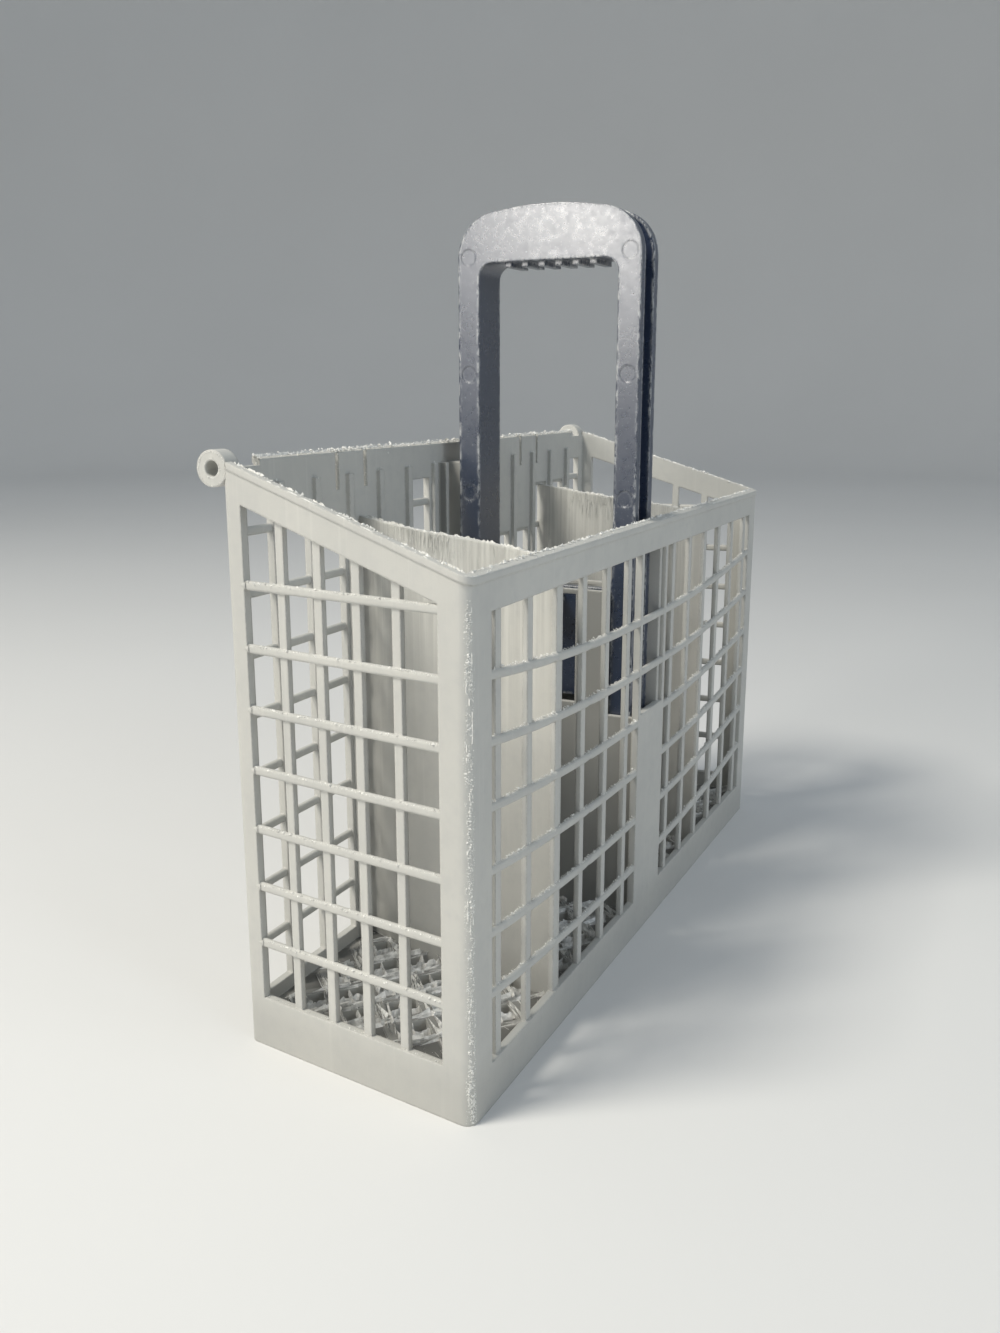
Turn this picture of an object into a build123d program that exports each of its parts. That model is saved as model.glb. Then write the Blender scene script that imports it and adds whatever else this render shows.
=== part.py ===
"""Dishwasher cutlery basket: a moulded lattice basket and the loop handle that slides in its middle.

Millimetres, +Z up. The low front wall faces -Y, the tall back wall faces +Y. The walls are laid out about the
middle of the plan, and the finished pieces stand about the middle of the overall box, hinge eyes included.
"""
import math
import os

from build123d import *

# Basket, overall
FRONT_LENGTH = 252.0
BACK_LENGTH = 232.0
WIDTH = 73.5
FRONT_HEIGHT = 134.0
BACK_HEIGHT = 157.0
WALL = 2.2
CORNER_RADIUS = 3.0
RIM_BEAD_HEIGHT = 1.8
RIM_BEAD_PROUD = 0.3
RIM_BAND = 9.0

# Lattice bars, common to the walls
ROW_PITCH = 16.0
RAIL_HEIGHT = 2.4
RAIL_DEPTH = 1.6
RAIL_ROUND = 0.75
RAIL_BITE = 1.0
RAIL_SETBACK = 0.05
UPRIGHT_SETBACK = 0.7

# End walls
END_SILL = 14.3
END_FRONT_POST = 8.7
END_BACK_POST = 6.2
END_UPRIGHTS = 4
END_UPRIGHT_WIDTH = 2.5
END_UPRIGHT_PITCH = 11.8
END_RAILS = 7

# Front wall
FRONT_SILL = 12.0
FRONT_POST = 11.0
FRONT_UPRIGHTS = 6
FRONT_UPRIGHT_WIDTH = 2.9
FRONT_UPRIGHT_PITCH = 17.8
FRONT_RAILS = 6
FRONT_RAIL_DROOP = 6.3
CENTRE_POST_WIDTH = 24.6
CENTRE_POST_EDGE = 2.0
CENTRE_POST_HEIGHT = 74.5

# Back wall
BACK_SILL = 12.0
BACK_MIDDLE_BAY = 26.6
BACK_COLUMN_PITCH = 16.55
BACK_WINDOW_WIDTH = 11.8
BACK_TOP_RAIL = 138.5
BACK_RAILS = 8
BACK_TOP_WINDOW = 146.0
BACK_CLOSED_ROWS = (0, 2, 2, 1, 1, 0)
BACK_RIB_WIDTH = 2.4
BACK_RIB_PROUD = 1.4
BACK_RIB_TOP = 150.3
BACK_SLIT_WIDTH = 1.8
BACK_SLIT_DEPTH = 11.0
BACK_SLIT_PLACES = (53.5, 68.1)
BACK_END_NOTCH_LENGTH = 13.0
BACK_END_NOTCH_DEPTH = 2.2

# Lid hinge eyes on the outside of the back wall
EYE_RADIUS = 4.6
EYE_HOLE_RADIUS = 2.0
EYE_WIDTH = 5.0
EYE_BELOW_TOP = 2.4
EYE_BEHIND_WALL = 2.6

# Floor grid
FLOOR_TOP = 8.0
FLOOR_THICKNESS = 3.5
FLOOR_BAR = 3.0
FLOOR_DIAMOND_LENGTH = 17.4
FLOOR_DIAMOND_WIDTH = 16.6

# Slanted dividers
DIVIDER_WALL = 1.8
DIVIDER_FRONT_PLACE = 73.0
DIVIDER_BACK_PLACE = 56.0
DIVIDER_SWAY = 2.2
DIVIDER_FRONT_HEIGHT = 131.0
DIVIDER_BACK_HEIGHT = 138.0

# Handle
HANDLE_WIDTH = 60.0
HANDLE_DEPTH = 15.0
HANDLE_SHIFT = -2.2
HANDLE_TOP = 227.4
HANDLE_CROWN = 1.4
HANDLE_CORNER = 13.5
HANDLE_FOOT = 44.0
HANDLE_TRAVEL = 30.0
LEG_WIDTH = 7.1
GRIP_HEIGHT = 16.0
GRIP_INNER_CORNER = 4.5
GROOVE_WIDTH = 8.0
GROOVE_DEPTH = 3.5
BRIDGE_BOTTOM = 76.0
BRIDGE_TOP = 112.0
BRIDGE_THICKNESS = 2.4
GRIP_RIBS = 6
GRIP_RIB_PITCH = 5.6
GRIP_RIB_WIDTH = 2.2
GRIP_RIB_DROP = 1.5
GRIP_FRONT_LIP = 2.5
PIN_MARK_RADIUS = 2.5
PIN_MARK_DEPTH = 0.12
PIN_MARK_HEIGHTS = (213.0, 178.0, 141.0)
STOP_WIDTH = 8.0
STOP_HEIGHT = 4.0
STOP_BELOW_BRIDGE_TOP = 1.5

# Central pocket that guides the handle
SLIDE_CLEARANCE = 0.5
POCKET_WALL = 1.8
POCKET_FRONT_TOP = 73.0
POCKET_MIDDLE_TOP = 112.5
POCKET_BACK_TOP = 150.5
POCKET_BACK_RIB = 3.0
POCKET_SLOT_WIDTH = 24.0
GUIDE_REACH = 2.5

half_width = WIDTH / 2
rim_slope = (BACK_HEIGHT - FRONT_HEIGHT) / WIDTH
end_skew = (FRONT_LENGTH - BACK_LENGTH) / 2
end_run = math.hypot(WIDTH, end_skew)
front_inner = -half_width + WALL
back_inner = half_width - WALL
floor_bottom = FLOOR_TOP - FLOOR_THICKNESS
over = FRONT_LENGTH

end_front_jamb = -end_run / 2 + END_FRONT_POST
end_back_jamb = end_run / 2 - END_BACK_POST
front_jamb = FRONT_LENGTH / 2 - FRONT_POST
front_head = FRONT_HEIGHT - RIM_BAND
post_half = CENTRE_POST_WIDTH / 2
rail_middle = RAIL_DEPTH / 2 + RAIL_SETBACK

front_plane = Plane(origin=(0, -half_width, 0), x_dir=(1, 0, 0), z_dir=(0, -1, 0))
back_plane = Plane(origin=(0, half_width, 0), x_dir=(-1, 0, 0), z_dir=(0, 1, 0))


def rim_height(y):
    """Height of the rim's top at a place across the basket."""
    return FRONT_HEIGHT + rim_slope * (y + half_width)


def end_plane(side):
    """Outer face of one end wall, with its local y up and its normal pointing out."""
    normal = Vector(side * WIDTH, end_skew, 0).normalized()
    middle = side * (FRONT_LENGTH + BACK_LENGTH) / 4
    return Plane(origin=(middle, 0, 0), x_dir=Vector(0, 0, 1).cross(normal), z_dir=normal)


def plan_outline():
    """Corners of the basket's plan, wider at the front."""
    return [
        (-FRONT_LENGTH / 2, -half_width),
        (FRONT_LENGTH / 2, -half_width),
        (BACK_LENGTH / 2, half_width),
        (-BACK_LENGTH / 2, half_width),
    ]


def slope_profile(drop):
    """Area above the rim's slope, lowered by a drop, seen along X."""
    return [
        (-WIDTH, rim_height(-WIDTH) - drop),
        (WIDTH, rim_height(WIDTH) - drop),
        (WIDTH, 2 * BACK_HEIGHT),
        (-WIDTH, 2 * BACK_HEIGHT),
    ]


os.makedirs("parts", exist_ok=True)

# Bead that stands out round the top of the rim
with BuildPart() as rim_bead:
    with BuildSketch():
        Polygon(*plan_outline(), align=None)
        offset(amount=RIM_BEAD_PROUD, kind=Kind.INTERSECTION)
    extrude(amount=BACK_HEIGHT)
    with BuildSketch(Plane.YZ):
        Polygon(*slope_profile(RIM_BEAD_HEIGHT), align=None)
    extrude(amount=over, both=True, mode=Mode.INTERSECT)
    fillet(rim_bead.edges().filter_by(Axis.Z), CORNER_RADIUS)

# Two slanted dividers, each the other one turned half round, with tops that fall towards the front
with BuildPart() as dividers:
    with BuildSketch(Plane.XY.offset(floor_bottom)):
        with BuildLine():
            front_end = (-DIVIDER_FRONT_PLACE, front_inner - WALL / 2)
            back_end = (-DIVIDER_BACK_PLACE, back_inner + WALL / 2)
            middle = ((front_end[0] + back_end[0]) / 2, (front_end[1] + back_end[1]) / 2)
            front_quarter = ((front_end[0] + middle[0]) / 2 + DIVIDER_SWAY, (front_end[1] + middle[1]) / 2)
            back_quarter = ((back_end[0] + middle[0]) / 2 - DIVIDER_SWAY, (back_end[1] + middle[1]) / 2)
            ThreePointArc(front_end, front_quarter, middle)
            ThreePointArc(middle, back_quarter, back_end)
        trace(line_width=DIVIDER_WALL)
    extrude(amount=BACK_HEIGHT)
    add(dividers.part.rotate(Axis.Z, 180))
    with BuildSketch(Plane.YZ):
        Polygon(
            (-half_width, DIVIDER_FRONT_HEIGHT),
            (half_width, DIVIDER_BACK_HEIGHT),
            (half_width, 2 * BACK_HEIGHT),
            (-half_width, 2 * BACK_HEIGHT),
            align=None,
        )
    extrude(amount=over, both=True, mode=Mode.SUBTRACT)

# Handle's places across the basket, which the pocket shares
leg_front_outer = HANDLE_SHIFT - HANDLE_WIDTH / 2
leg_back_outer = HANDLE_SHIFT + HANDLE_WIDTH / 2
leg_front_inner = leg_front_outer + LEG_WIDTH
pocket_inner = HANDLE_DEPTH / 2 + SLIDE_CLEARANCE
pocket_outer = pocket_inner + POCKET_WALL
stop_top = BRIDGE_TOP - STOP_BELOW_BRIDGE_TOP
slot_top = stop_top + SLIDE_CLEARANCE
slot_bottom = stop_top - STOP_HEIGHT - HANDLE_TRAVEL - SLIDE_CLEARANCE
guide_width = GROOVE_WIDTH - 2 * SLIDE_CLEARANCE
guide_front_tip = leg_front_outer + GUIDE_REACH
guide_back_tip = leg_back_outer - GUIDE_REACH
guard_length = leg_front_inner - SLIDE_CLEARANCE - front_inner + WALL / 2

# Middle of the basket: pocket walls with stepped tops, a guard by the front leg, and guide ribs for the legs
with BuildPart() as pocket:
    for side in (-1, 1):
        with BuildSketch(Plane.YZ.offset(side * pocket_inner)):
            with BuildLine():
                Polyline(
                    (front_inner - WALL / 2, floor_bottom),
                    (front_inner - WALL / 2, POCKET_FRONT_TOP),
                    (leg_front_inner + SLIDE_CLEARANCE, POCKET_FRONT_TOP),
                    (leg_front_inner + SLIDE_CLEARANCE, POCKET_MIDDLE_TOP),
                    (back_inner - POCKET_BACK_RIB, POCKET_MIDDLE_TOP),
                    (back_inner - POCKET_BACK_RIB, POCKET_BACK_TOP),
                    (back_inner + WALL / 2, POCKET_BACK_TOP),
                    (back_inner + WALL / 2, floor_bottom),
                    close=True,
                )
            make_face()
            with Locations((HANDLE_SHIFT, (slot_top + slot_bottom) / 2)):
                Rectangle(POCKET_SLOT_WIDTH, slot_top - slot_bottom, mode=Mode.SUBTRACT)
        extrude(amount=side * POCKET_WALL)
    with BuildSketch(Plane.YZ.offset(pocket_inner)):
        with Locations((front_inner - WALL / 2, POCKET_FRONT_TOP - WALL)):
            guard_height = front_head - POCKET_FRONT_TOP + 1.5 * WALL
            Rectangle(guard_length, guard_height, align=(Align.MIN, Align.MIN))
    extrude(amount=POCKET_WALL)
    with BuildSketch(Plane.XY.offset(floor_bottom)):
        with Locations((0, front_inner - WALL / 2)):
            Rectangle(guide_width, guide_front_tip - front_inner + WALL / 2, align=(Align.CENTER, Align.MIN))
    extrude(amount=POCKET_FRONT_TOP - floor_bottom)
    with BuildSketch(Plane.XY.offset(floor_bottom)):
        with Locations((0, back_inner + WALL / 2)):
            Rectangle(guide_width, back_inner + WALL / 2 - guide_back_tip, align=(Align.CENTER, Align.MAX))
    extrude(amount=POCKET_BACK_TOP - floor_bottom)

# Everything that is cut through the walls and the floor
with BuildPart() as cutouts:
    # Diamonds through the floor, whole ones only
    with BuildSketch(Plane.XY.offset(floor_bottom)):
        diamond_columns = int((BACK_LENGTH - 2 * WALL) / FLOOR_DIAMOND_LENGTH)
        diamond_rows = int((WIDTH - 2 * WALL) / FLOOR_DIAMOND_WIDTH)
        hole_length = FLOOR_DIAMOND_LENGTH - FLOOR_BAR * math.sqrt(2)
        hole_width = FLOOR_DIAMOND_WIDTH - FLOOR_BAR * math.sqrt(2)
        for fewer in (0, 1):
            with GridLocations(
                FLOOR_DIAMOND_LENGTH, FLOOR_DIAMOND_WIDTH, diamond_columns - fewer, diamond_rows - fewer
            ):
                Polygon(
                    (-hole_length / 2, 0),
                    (0, -hole_width / 2),
                    (hole_length / 2, 0),
                    (0, hole_width / 2),
                )
    extrude(amount=FLOOR_THICKNESS)

    # End walls: slots between the uprights, which lie behind the outer face
    for side in (-1, 1):
        with BuildSketch(end_plane(side)) as end_window:
            with BuildLine():
                Polyline(
                    (side * end_front_jamb, END_SILL),
                    (side * end_back_jamb, END_SILL),
                    (side * end_back_jamb, rim_height(end_back_jamb * WIDTH / end_run) - RIM_BAND),
                    (side * end_front_jamb, rim_height(end_front_jamb * WIDTH / end_run) - RIM_BAND),
                    close=True,
                )
            make_face()
        extrude(amount=-UPRIGHT_SETBACK)
        with BuildSketch(end_plane(side)):
            add(end_window.sketch_local)
            for i in range(END_UPRIGHTS):
                with Locations((side * (end_back_jamb - END_UPRIGHT_PITCH * (i + 1)), END_SILL)):
                    Rectangle(END_UPRIGHT_WIDTH, 2 * BACK_HEIGHT, mode=Mode.SUBTRACT)
        extrude(amount=-2 * WALL)

    # Front wall: a window each side of the centre post, and an opening above the post for the leg
    with BuildSketch(front_plane) as front_windows:
        for side in (-1, 1):
            with Locations((side * (front_jamb + post_half) / 2, (FRONT_SILL + front_head) / 2)):
                Rectangle(front_jamb - post_half, front_head - FRONT_SILL)
    extrude(amount=-UPRIGHT_SETBACK)
    with BuildSketch(front_plane):
        add(front_windows.sketch_local)
        for i in range(FRONT_UPRIGHTS):
            place = post_half + FRONT_UPRIGHT_PITCH * (i + 0.5)
            with Locations((place, 0), (-place, 0)):
                Rectangle(FRONT_UPRIGHT_WIDTH, 2 * FRONT_HEIGHT, mode=Mode.SUBTRACT)
        with Locations((0, (CENTRE_POST_HEIGHT + front_head) / 2)):
            Rectangle(CENTRE_POST_WIDTH - 2 * CENTRE_POST_EDGE, front_head - CENTRE_POST_HEIGHT)
    extrude(amount=-2 * WALL)

    # Back wall: columns of windows under a solid head that hangs lower in the middle of each half
    with BuildSketch(back_plane):
        with Locations((0, (BACK_TOP_WINDOW + BACK_SILL) / 2)):
            Rectangle(BACK_WINDOW_WIDTH, BACK_TOP_WINDOW - BACK_SILL)
        for column, rails_above in enumerate(BACK_CLOSED_ROWS):
            across = BACK_MIDDLE_BAY / 2 + BACK_COLUMN_PITCH * (column + 0.5)
            head = BACK_TOP_RAIL - (rails_above - 1) * ROW_PITCH if rails_above else BACK_TOP_WINDOW
            with Locations((across, (head + BACK_SILL) / 2), (-across, (head + BACK_SILL) / 2)):
                Rectangle(BACK_WINDOW_WIDTH, head - BACK_SILL)
        for side in (-1, 1):
            for place in BACK_SLIT_PLACES:
                with Locations((side * place, BACK_HEIGHT)):
                    Rectangle(BACK_SLIT_WIDTH, 2 * BACK_SLIT_DEPTH)
            with Locations((side * BACK_LENGTH / 2, BACK_HEIGHT)):
                Rectangle(2 * BACK_END_NOTCH_LENGTH, 2 * BACK_END_NOTCH_DEPTH)
    extrude(amount=WALL, both=True)

# Rails across the windows
with BuildPart() as rails:
    for side in (-1, 1):
        wall_face = end_plane(side)
        rail_start = wall_face.from_local_coords((side * (end_front_jamb - RAIL_BITE), 0, -rail_middle))
        with BuildSketch(Plane(origin=rail_start, x_dir=wall_face.z_dir, z_dir=wall_face.x_dir * side)):
            for i in range(END_RAILS):
                with Locations((0, -side * (END_SILL + ROW_PITCH * (i + 1)))):
                    RectangleRounded(RAIL_DEPTH, RAIL_HEIGHT, RAIL_ROUND)
        extrude(amount=end_back_jamb - end_front_jamb + 2 * RAIL_BITE)

    # Front rails sag in shallow arcs towards the centre post, and run level across the opening above it
    rail_y = -half_width + rail_middle
    for i in range(FRONT_RAILS):
        inner_height = END_SILL + ROW_PITCH * (i + 1) - FRONT_RAIL_DROOP
        above_post = inner_height > CENTRE_POST_HEIGHT
        inner_end = post_half if above_post else post_half - RAIL_BITE
        sag_run = front_jamb + RAIL_BITE - inner_end
        sag_radius = (sag_run**2 + FRONT_RAIL_DROOP**2) / (2 * FRONT_RAIL_DROOP)
        sag_angle = math.degrees(math.asin(sag_run / sag_radius))
        for side in (-1, 1):
            with BuildSketch(Plane.YZ.offset(side * inner_end)):
                with Locations((rail_y, inner_height)):
                    RectangleRounded(RAIL_DEPTH, RAIL_HEIGHT, RAIL_ROUND)
            sag_axis = Axis((side * inner_end, 0, inner_height + sag_radius), (0, -side, 0))
            revolve(axis=sag_axis, revolution_arc=sag_angle)
        if above_post:
            with BuildSketch(Plane.YZ.offset(-post_half)):
                with Locations((rail_y, inner_height)):
                    RectangleRounded(RAIL_DEPTH, RAIL_HEIGHT, RAIL_ROUND)
            extrude(amount=CENTRE_POST_WIDTH)

    window_span = BACK_MIDDLE_BAY + (2 * len(BACK_CLOSED_ROWS) - 1) * BACK_COLUMN_PITCH + BACK_WINDOW_WIDTH
    with BuildSketch(Plane.YZ.offset(-window_span / 2 - RAIL_BITE)):
        for i in range(BACK_RAILS):
            with Locations((half_width - rail_middle, BACK_TOP_RAIL - ROW_PITCH * i)):
                RectangleRounded(RAIL_DEPTH, RAIL_HEIGHT, RAIL_ROUND)
    extrude(amount=window_span + 2 * RAIL_BITE)

# Ribs up the inside of the back wall, between its columns
with BuildPart() as back_ribs:
    with BuildSketch(Plane.XY.offset(floor_bottom)):
        for i in range(len(BACK_CLOSED_ROWS)):
            place = BACK_MIDDLE_BAY / 2 + BACK_COLUMN_PITCH * i
            with Locations((place, back_inner + WALL / 2), (-place, back_inner + WALL / 2)):
                Rectangle(BACK_RIB_WIDTH, WALL / 2 + BACK_RIB_PROUD, align=(Align.CENTER, Align.MAX))
    extrude(amount=BACK_RIB_TOP - floor_bottom)

# Eyes that a lid's pins turn in
with BuildPart() as eyes:
    for side in (-1, 1):
        with BuildSketch(Plane.YZ.offset(side * (BACK_LENGTH / 2 - EYE_WIDTH))):
            with Locations((half_width + EYE_BEHIND_WALL, BACK_HEIGHT - EYE_BELOW_TOP)):
                Circle(EYE_RADIUS)
                Circle(EYE_HOLE_RADIUS, mode=Mode.SUBTRACT)
        extrude(amount=side * EYE_WIDTH)

# The basket: a shell, hollow above the floor and recessed below it, with all its features
with BuildPart() as basket_body:
    with BuildSketch():
        Polygon(*plan_outline(), align=None)
    extrude(amount=BACK_HEIGHT)
    fillet(basket_body.edges().filter_by(Axis.Z), CORNER_RADIUS)
    add(rim_bead.part)
    with BuildSketch(Plane.YZ):
        Polygon(*slope_profile(0), align=None)
    extrude(amount=over, both=True, mode=Mode.SUBTRACT)
    with BuildSketch(Plane.XY.offset(FLOOR_TOP)):
        Polygon(*plan_outline(), align=None)
        offset(amount=-WALL, kind=Kind.INTERSECTION)
    extrude(amount=BACK_HEIGHT, mode=Mode.SUBTRACT)
    with BuildSketch():
        Polygon(*plan_outline(), align=None)
        offset(amount=-WALL, kind=Kind.INTERSECTION)
    extrude(amount=floor_bottom, mode=Mode.SUBTRACT)
    add(cutouts.part, mode=Mode.SUBTRACT)
    add([rails.part, back_ribs.part, dividers.part, pocket.part, eyes.part])

# The handle: a loop with long legs, grooved round its outside, and a bridge between the legs
grip_bottom = HANDLE_TOP - GRIP_HEIGHT
shoulder = HANDLE_TOP - HANDLE_CROWN
with BuildPart() as handle_body:
    with BuildSketch(Plane.YZ) as outline:
        with BuildLine():
            Line((leg_front_outer, HANDLE_FOOT), (leg_front_outer, shoulder - HANDLE_CORNER))
            RadiusArc(
                (leg_front_outer, shoulder - HANDLE_CORNER),
                (leg_front_outer + HANDLE_CORNER, shoulder),
                HANDLE_CORNER,
            )
            ThreePointArc(
                (leg_front_outer + HANDLE_CORNER, shoulder),
                (HANDLE_SHIFT, HANDLE_TOP),
                (leg_back_outer - HANDLE_CORNER, shoulder),
            )
            RadiusArc(
                (leg_back_outer - HANDLE_CORNER, shoulder),
                (leg_back_outer, shoulder - HANDLE_CORNER),
                HANDLE_CORNER,
            )
            Line((leg_back_outer, shoulder - HANDLE_CORNER), (leg_back_outer, HANDLE_FOOT))
            Line((leg_back_outer, HANDLE_FOOT), (leg_front_outer, HANDLE_FOOT))
        make_face()
    extrude(amount=HANDLE_DEPTH / 2, both=True)

    # Groove round the outside, between a front and a back flange
    with BuildSketch(Plane.YZ):
        add(outline.sketch_local)
        offset(amount=-GROOVE_DEPTH, mode=Mode.REPLACE)
        with Locations((HANDLE_SHIFT, HANDLE_FOOT)):
            Rectangle(HANDLE_WIDTH - 2 * GROOVE_DEPTH, 2 * HANDLE_CORNER)
    core = extrude(amount=GROOVE_WIDTH / 2, both=True, mode=Mode.PRIVATE)
    with BuildSketch(Plane.YZ):
        add(outline.sketch_local)
    groove = extrude(amount=GROOVE_WIDTH / 2, both=True, mode=Mode.PRIVATE) - core
    add(groove, mode=Mode.SUBTRACT)

    # Hand opening above the bridge, and the gap between the legs below it
    opening_width = HANDLE_WIDTH - 2 * LEG_WIDTH
    with BuildSketch(Plane.YZ):
        with Locations((HANDLE_SHIFT, grip_bottom)):
            hand_opening = Rectangle(opening_width, grip_bottom - BRIDGE_TOP, align=(Align.CENTER, Align.MAX))
        fillet(hand_opening.vertices().group_by(Axis.Z)[-1], GRIP_INNER_CORNER)
        with Locations((HANDLE_SHIFT, BRIDGE_BOTTOM)):
            Rectangle(opening_width, BRIDGE_BOTTOM, align=(Align.CENTER, Align.MAX))
    extrude(amount=HANDLE_DEPTH, both=True, mode=Mode.SUBTRACT)

    # The bridge is a thin web in the middle of the depth
    with BuildSketch(Plane.YZ):
        with Locations((HANDLE_SHIFT, (BRIDGE_TOP + BRIDGE_BOTTOM) / 2)):
            Rectangle(opening_width, BRIDGE_TOP - BRIDGE_BOTTOM)
    extrude(amount=HANDLE_DEPTH, both=True, mode=Mode.SUBTRACT)
    with BuildSketch(Plane.YZ):
        with Locations((HANDLE_SHIFT, (BRIDGE_TOP + BRIDGE_BOTTOM) / 2)):
            Rectangle(opening_width + LEG_WIDTH / 2, BRIDGE_TOP - BRIDGE_BOTTOM)
    extrude(amount=BRIDGE_THICKNESS / 2, both=True)

    # Stops on the bridge, which reach into the pocket's slots
    with BuildSketch(Plane.YZ):
        with Locations((HANDLE_SHIFT, stop_top)):
            Rectangle(STOP_WIDTH, STOP_HEIGHT, align=(Align.CENTER, Align.MAX))
    extrude(amount=pocket_outer, both=True)

    # Finger ribs under the grip, behind its front lip
    with BuildSketch(Plane.YZ.offset(-HANDLE_DEPTH / 2 + GRIP_FRONT_LIP)):
        with Locations((HANDLE_SHIFT, grip_bottom + GRIP_RIB_WIDTH)):
            with GridLocations(GRIP_RIB_PITCH, 0, GRIP_RIBS, 1):
                Rectangle(GRIP_RIB_WIDTH, GRIP_RIB_DROP + GRIP_RIB_WIDTH, align=(Align.CENTER, Align.MAX))
    extrude(amount=HANDLE_DEPTH - GRIP_FRONT_LIP)

    # Round ejector marks on the front flange
    with BuildSketch(Plane.YZ.offset(-HANDLE_DEPTH / 2)):
        for place in (leg_front_outer + LEG_WIDTH / 2, leg_back_outer - LEG_WIDTH / 2):
            for height in PIN_MARK_HEIGHTS:
                with Locations((place, height)):
                    Circle(PIN_MARK_RADIUS)
    extrude(amount=PIN_MARK_DEPTH, mode=Mode.SUBTRACT)

# Finished pieces, set so that the overall box is centred on the origin
centring = (0, (RIM_BEAD_PROUD - EYE_BEHIND_WALL - EYE_RADIUS) / 2, 0)
with BuildPart() as basket:
    with Locations(centring):
        add(basket_body.part)
basket.part.label = "basket"
export_step(basket.part, "parts/basket.step")

with BuildPart() as handle:
    with Locations(centring):
        add(handle_body.part)
handle.part.label = "handle"
export_step(handle.part, "parts/handle.step")
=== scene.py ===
import math
import random

import bpy
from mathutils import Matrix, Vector


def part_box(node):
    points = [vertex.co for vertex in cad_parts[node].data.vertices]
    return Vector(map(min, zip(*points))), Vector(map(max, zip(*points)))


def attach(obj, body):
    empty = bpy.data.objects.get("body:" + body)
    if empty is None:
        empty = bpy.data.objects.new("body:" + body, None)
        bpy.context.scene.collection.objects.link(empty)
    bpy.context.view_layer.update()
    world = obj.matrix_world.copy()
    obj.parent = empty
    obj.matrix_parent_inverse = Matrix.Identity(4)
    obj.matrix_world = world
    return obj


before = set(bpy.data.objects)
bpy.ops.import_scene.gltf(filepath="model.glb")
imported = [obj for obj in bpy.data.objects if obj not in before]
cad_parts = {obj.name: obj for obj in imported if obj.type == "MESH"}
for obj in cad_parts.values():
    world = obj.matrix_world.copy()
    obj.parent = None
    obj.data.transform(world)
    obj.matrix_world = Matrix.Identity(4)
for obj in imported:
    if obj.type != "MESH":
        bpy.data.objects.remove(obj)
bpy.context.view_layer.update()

# Sizes in metres, in the frame's own axes
MM = 0.001
FRONT_HEIGHT = 134.0 * MM
BACK_HEIGHT = 157.0 * MM
FRONT_LENGTH = 252.0 * MM
BACK_LENGTH = 232.0 * MM
WIDTH = 73.5 * MM
WALL = 2.2 * MM
BEAD_PROUD = 0.3 * MM
CORNER_RADIUS = 3.0 * MM
ROW_PITCH = 16.0 * MM
END_SILL = 14.3 * MM
END_FRONT_POST = 8.7 * MM
END_BACK_POST = 6.2 * MM
RAIL_HEIGHT = 2.4 * MM
FRONT_POST = 11.0 * MM
FRONT_RAIL_DROOP = 6.3 * MM
CENTRE_POST_WIDTH = 24.6 * MM
FLOOR_TOP = 8.0 * MM
DIAMOND_LENGTH = 17.4 * MM
DIAMOND_WIDTH = 16.6 * MM
BACK_NOTCH_LENGTH = 13.0 * MM
BACK_SLIT_PLACES = (53.5 * MM, 68.1 * MM)
BACK_SLIT_WIDTH = 1.8 * MM
BACK_SLIT_DEPTH = 11.0 * MM
BACK_RIB_PLACES = [(13.3 + 16.55 * i) * MM for i in range(6)]
BACK_RIB_TOP = 150.3 * MM
BACK_RIB_PROUD = 1.4 * MM
DIVIDER_FRONT_PLACE = 73.0 * MM
DIVIDER_BACK_PLACE = 56.0 * MM
DIVIDER_SWAY = 2.2 * MM
DIVIDER_WALL = 1.8 * MM
DIVIDER_FRONT_HEIGHT = 131.0 * MM
DIVIDER_BACK_HEIGHT = 138.0 * MM
EYE_RADIUS = 4.6 * MM
EYE_HOLE_RADIUS = 2.0 * MM
EYE_WIDTH = 5.0 * MM
EYE_BEHIND_WALL = 2.6 * MM
EYE_BELOW_TOP = 2.4 * MM
POCKET_OUTER = 9.8 * MM
FLASH_SINK = 0.08 * MM
FLOOR_MARGIN = 3.0 * MM
HANDLE_DEPTH = 15.0 * MM
LEG_WIDTH = 7.1 * MM
GRIP_HEIGHT = 16.0 * MM
GRIP_INNER_CORNER = 4.5 * MM
HANDLE_CORNER = 13.5 * MM
HANDLE_CROWN = 1.4 * MM
SCUFF_FOOT = 118.0 * MM
TIP_LENGTH = 2.2 * MM
FLOOR_RIB_FOOT = 2.0 * MM
FLOOR_RIB_HEIGHT = 2.1 * MM
FLOOR_RIB_WIDTH = 1.3 * MM
BASKET_EDGE = 0.8 * MM
HANDLE_EDGE = 0.7 * MM
SCUFF_REACH = 1.7 * MM

# Counts, and angles in degrees
END_RAILS = 7
FRONT_RAILS = 6
DIAMOND_COLUMNS = 13
DIAMOND_ROWS = 4
RING_POINTS = 48
TIP_SIDES = 8
SLIT_LUMPS = 9
SLIT_CRUMBS = 10
RIB_LUMPS = 4
SEAM_TURNS = (34, 47, 60)
CORNER_CLUSTERS = 190
BLADE_TRIES = 5200
GROUND_TURNS = 96

UP = Vector((0, 0, 1))
front_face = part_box("basket")[0].y + BEAD_PROUD
back_face = front_face + WIDTH
plan_middle = (front_face + back_face) / 2
end_skew = (FRONT_LENGTH - BACK_LENGTH) / 2
end_run = math.hypot(WIDTH, end_skew)

# Camera, fitted to the photograph's 1000 x 1333 frame
CAMERA_PLACE = Vector((-348.3, -155.55, 173.7)) * MM
CAMERA_TURN = (math.radians(76.73), 0, math.radians(-64.1))
FOCAL_PIXELS = 1178.65
IMAGE_HEIGHT = 1333
SENSOR = 36.0
CLIP_START = 10.0 * MM

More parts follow.
